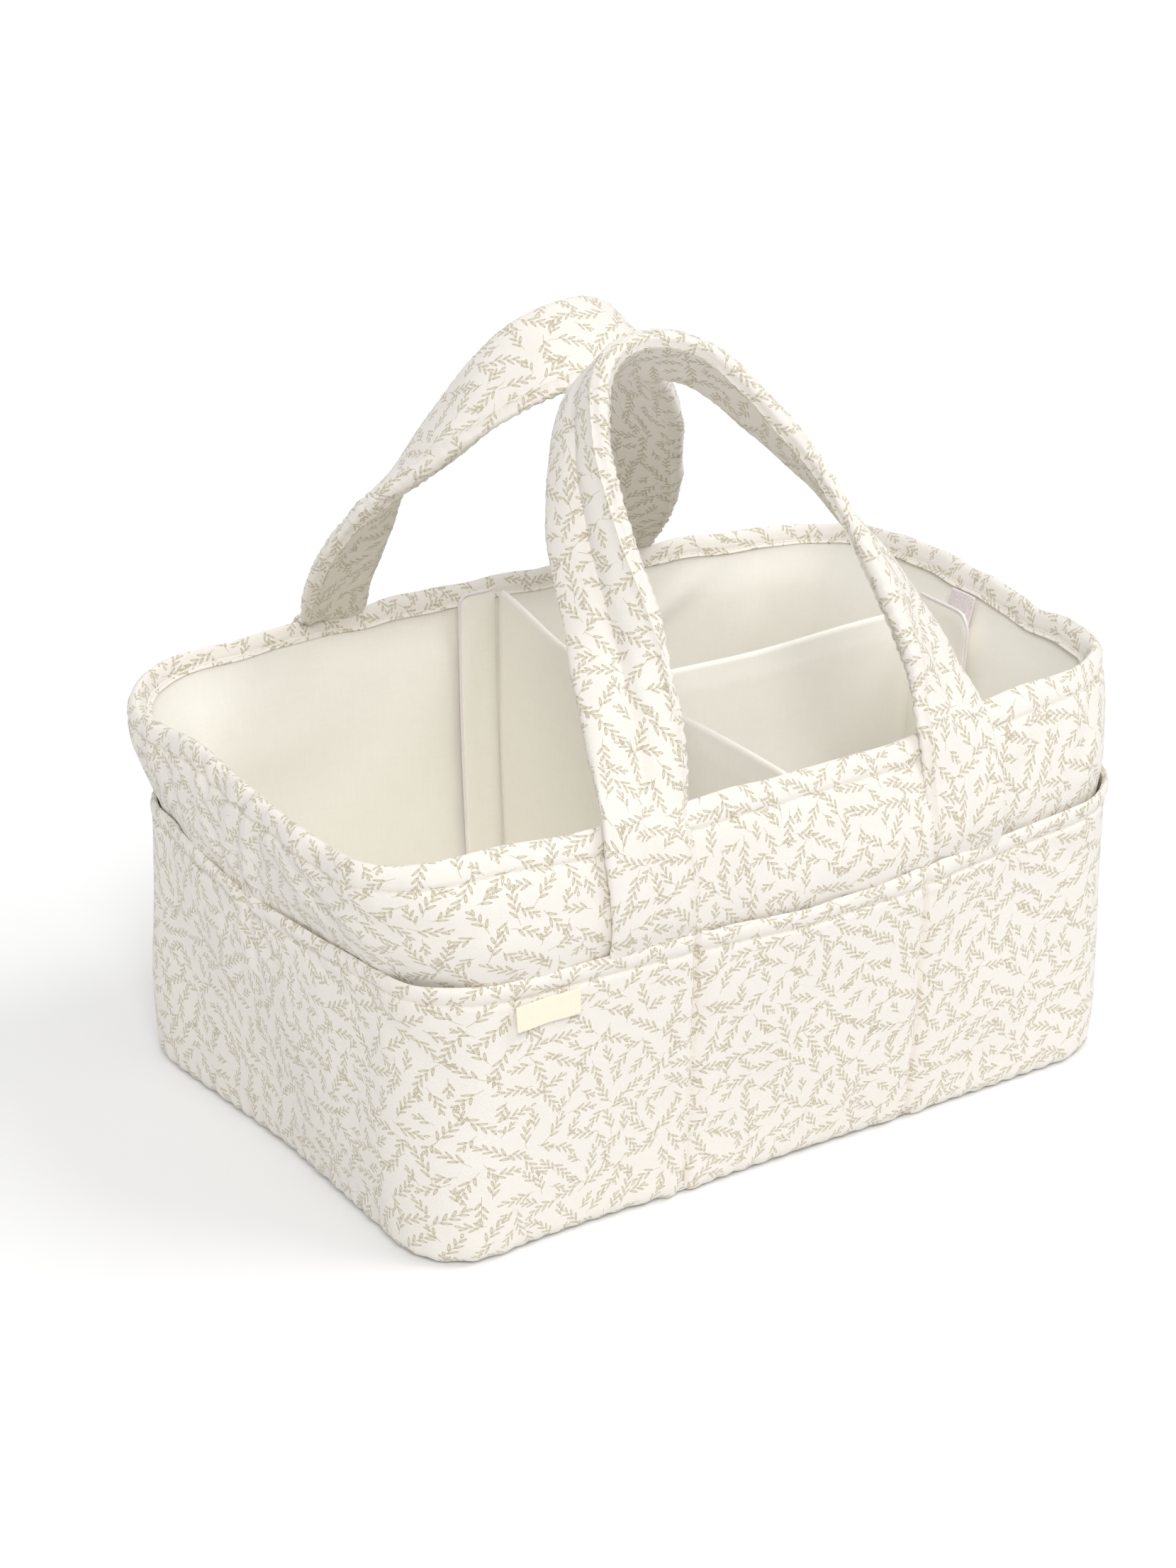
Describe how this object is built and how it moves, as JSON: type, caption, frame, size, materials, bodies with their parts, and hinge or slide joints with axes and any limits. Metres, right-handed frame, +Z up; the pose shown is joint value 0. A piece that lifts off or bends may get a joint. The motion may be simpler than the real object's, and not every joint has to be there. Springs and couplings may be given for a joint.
{
  "type": "diaper caddy",
  "caption": "Soft padded caddy with pockets all round, twisting carrying straps that swing, and a T-shaped divider insert that lifts out.",
  "frame": {"origin": "centre of the underside, on the surface the caddy stands on", "axes": "+X along the long side, from the compartment that has no second divider to the other two; +Y from the side with the label to the back; +Z up"},
  "size_m": [0.4224, 0.3072, 0.3661],
  "materials": {
    "printed_cotton": "woven cotton with a small printed sprig",
    "cream_cotton": "plain woven cotton",
    "label_cotton": "fine woven ribbon, bare",
    "hook_loop_tape": "hook and loop nap",
    "stiffener_board": "light foam board",
    "strap_wadding": "soft wadding"
  },
  "bodies": {
    "basket": {"outer_base": "printed_cotton", "base_board": "stiffener_board", "lining_floor": "cream_cotton", "outer_wall": "printed_cotton", "stiffener_front": "stiffener_board", "stiffener_back": "stiffener_board", "stiffener_left": "stiffener_board", "stiffener_right": "stiffener_board", "lining_wall": "cream_cotton", "rim_facing": "printed_cotton", "pocket_front": "printed_cotton", "pocket_right": "printed_cotton", "pocket_back": "printed_cotton", "pocket_left": "printed_cotton", "label_tab": "label_cotton", "front_strap_end_left": "printed_cotton", "front_strap_end_right": "printed_cotton", "back_strap_end_left": "printed_cotton", "back_strap_end_right": "printed_cotton", "loop_tape_front": "hook_loop_tape", "loop_tape_back": "hook_loop_tape", "loop_tape_right": "hook_loop_tape"},
    "front_handle": {"front_handle_cover": "printed_cotton", "front_handle_core": "strap_wadding"},
    "back_handle": {"back_handle_cover": "printed_cotton", "back_handle_core": "strap_wadding"},
    "divider_insert": {"cross_divider_cover": "cream_cotton", "cross_divider_board": "stiffener_board", "long_divider_cover": "cream_cotton", "long_divider_board": "stiffener_board", "front_flap": "cream_cotton", "back_flap": "cream_cotton", "right_flap": "cream_cotton", "hook_tape_front": "hook_loop_tape", "hook_tape_back": "hook_loop_tape", "hook_tape_right": "hook_loop_tape"}
  },
  "joints": [
    {"name": "front_handle_swing", "type": "hinge", "parent": "basket", "child": "front_handle", "pos_m": [0, -0.1376, 0.192], "axis": [1, 0, 0], "range_deg": [0, 190]},
    {"name": "back_handle_swing", "type": "hinge", "parent": "basket", "child": "back_handle", "pos_m": [0, 0.1376, 0.192], "axis": [-1, 0, 0], "range_deg": [0, 190]},
    {"name": "divider_lift", "type": "slide", "parent": "basket", "child": "divider_insert", "axis": [0, 0, 1], "range_m": [0, 0.125]}
  ]
}
